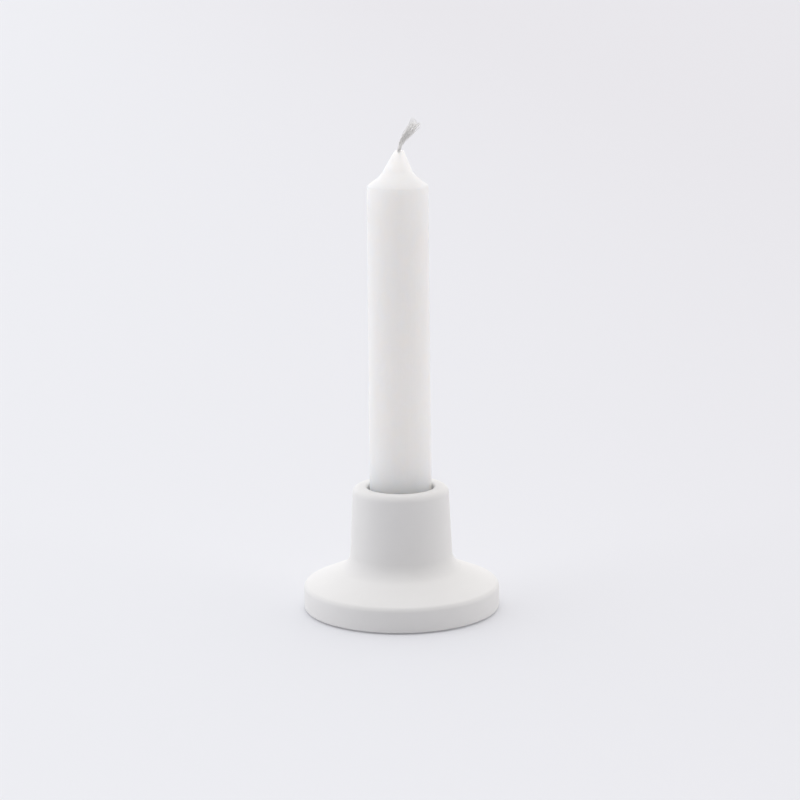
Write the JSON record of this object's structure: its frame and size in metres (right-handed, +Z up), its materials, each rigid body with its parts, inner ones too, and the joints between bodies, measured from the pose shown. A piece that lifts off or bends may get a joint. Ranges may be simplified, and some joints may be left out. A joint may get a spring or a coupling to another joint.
{
  "type": "candlestick",
  "caption": "Low turned candlestick with a round sloping foot, a short tapered neck and a lined socket, holding a removable tapered candle with a bent, frayed wick.",
  "frame": {"origin": "centre of the pad's underside, on the axis of the socket", "axes": "+Z up along the candle, +X towards the side that the wick bends to"},
  "size_m": [0.069, 0.069, 0.1742],
  "materials": {
    "painted_wood": "turned, filled and sprayed matt white",
    "liner_steel": "drawn sheet, satin",
    "screw_steel": "zinc plated",
    "cork": "pressed cork sheet",
    "wax": "moulded candle wax, slightly translucent",
    "wick_cotton": "braided cotton, frayed at its end"
  },
  "bodies": {
    "holder": {"foot": "painted_wood", "neck": "painted_wood", "candle_cup": "liner_steel", "cup_screw": "screw_steel", "foot_screw": "screw_steel", "base_pad": "cork"},
    "candle": {"candle": "wax", "wick": "wick_cotton"}
  },
  "joints": [
    {"name": "candle_lift", "type": "slide", "parent": "holder", "child": "candle", "axis": [0, 0, 1], "range_m": [0, 0.04]}
  ]
}
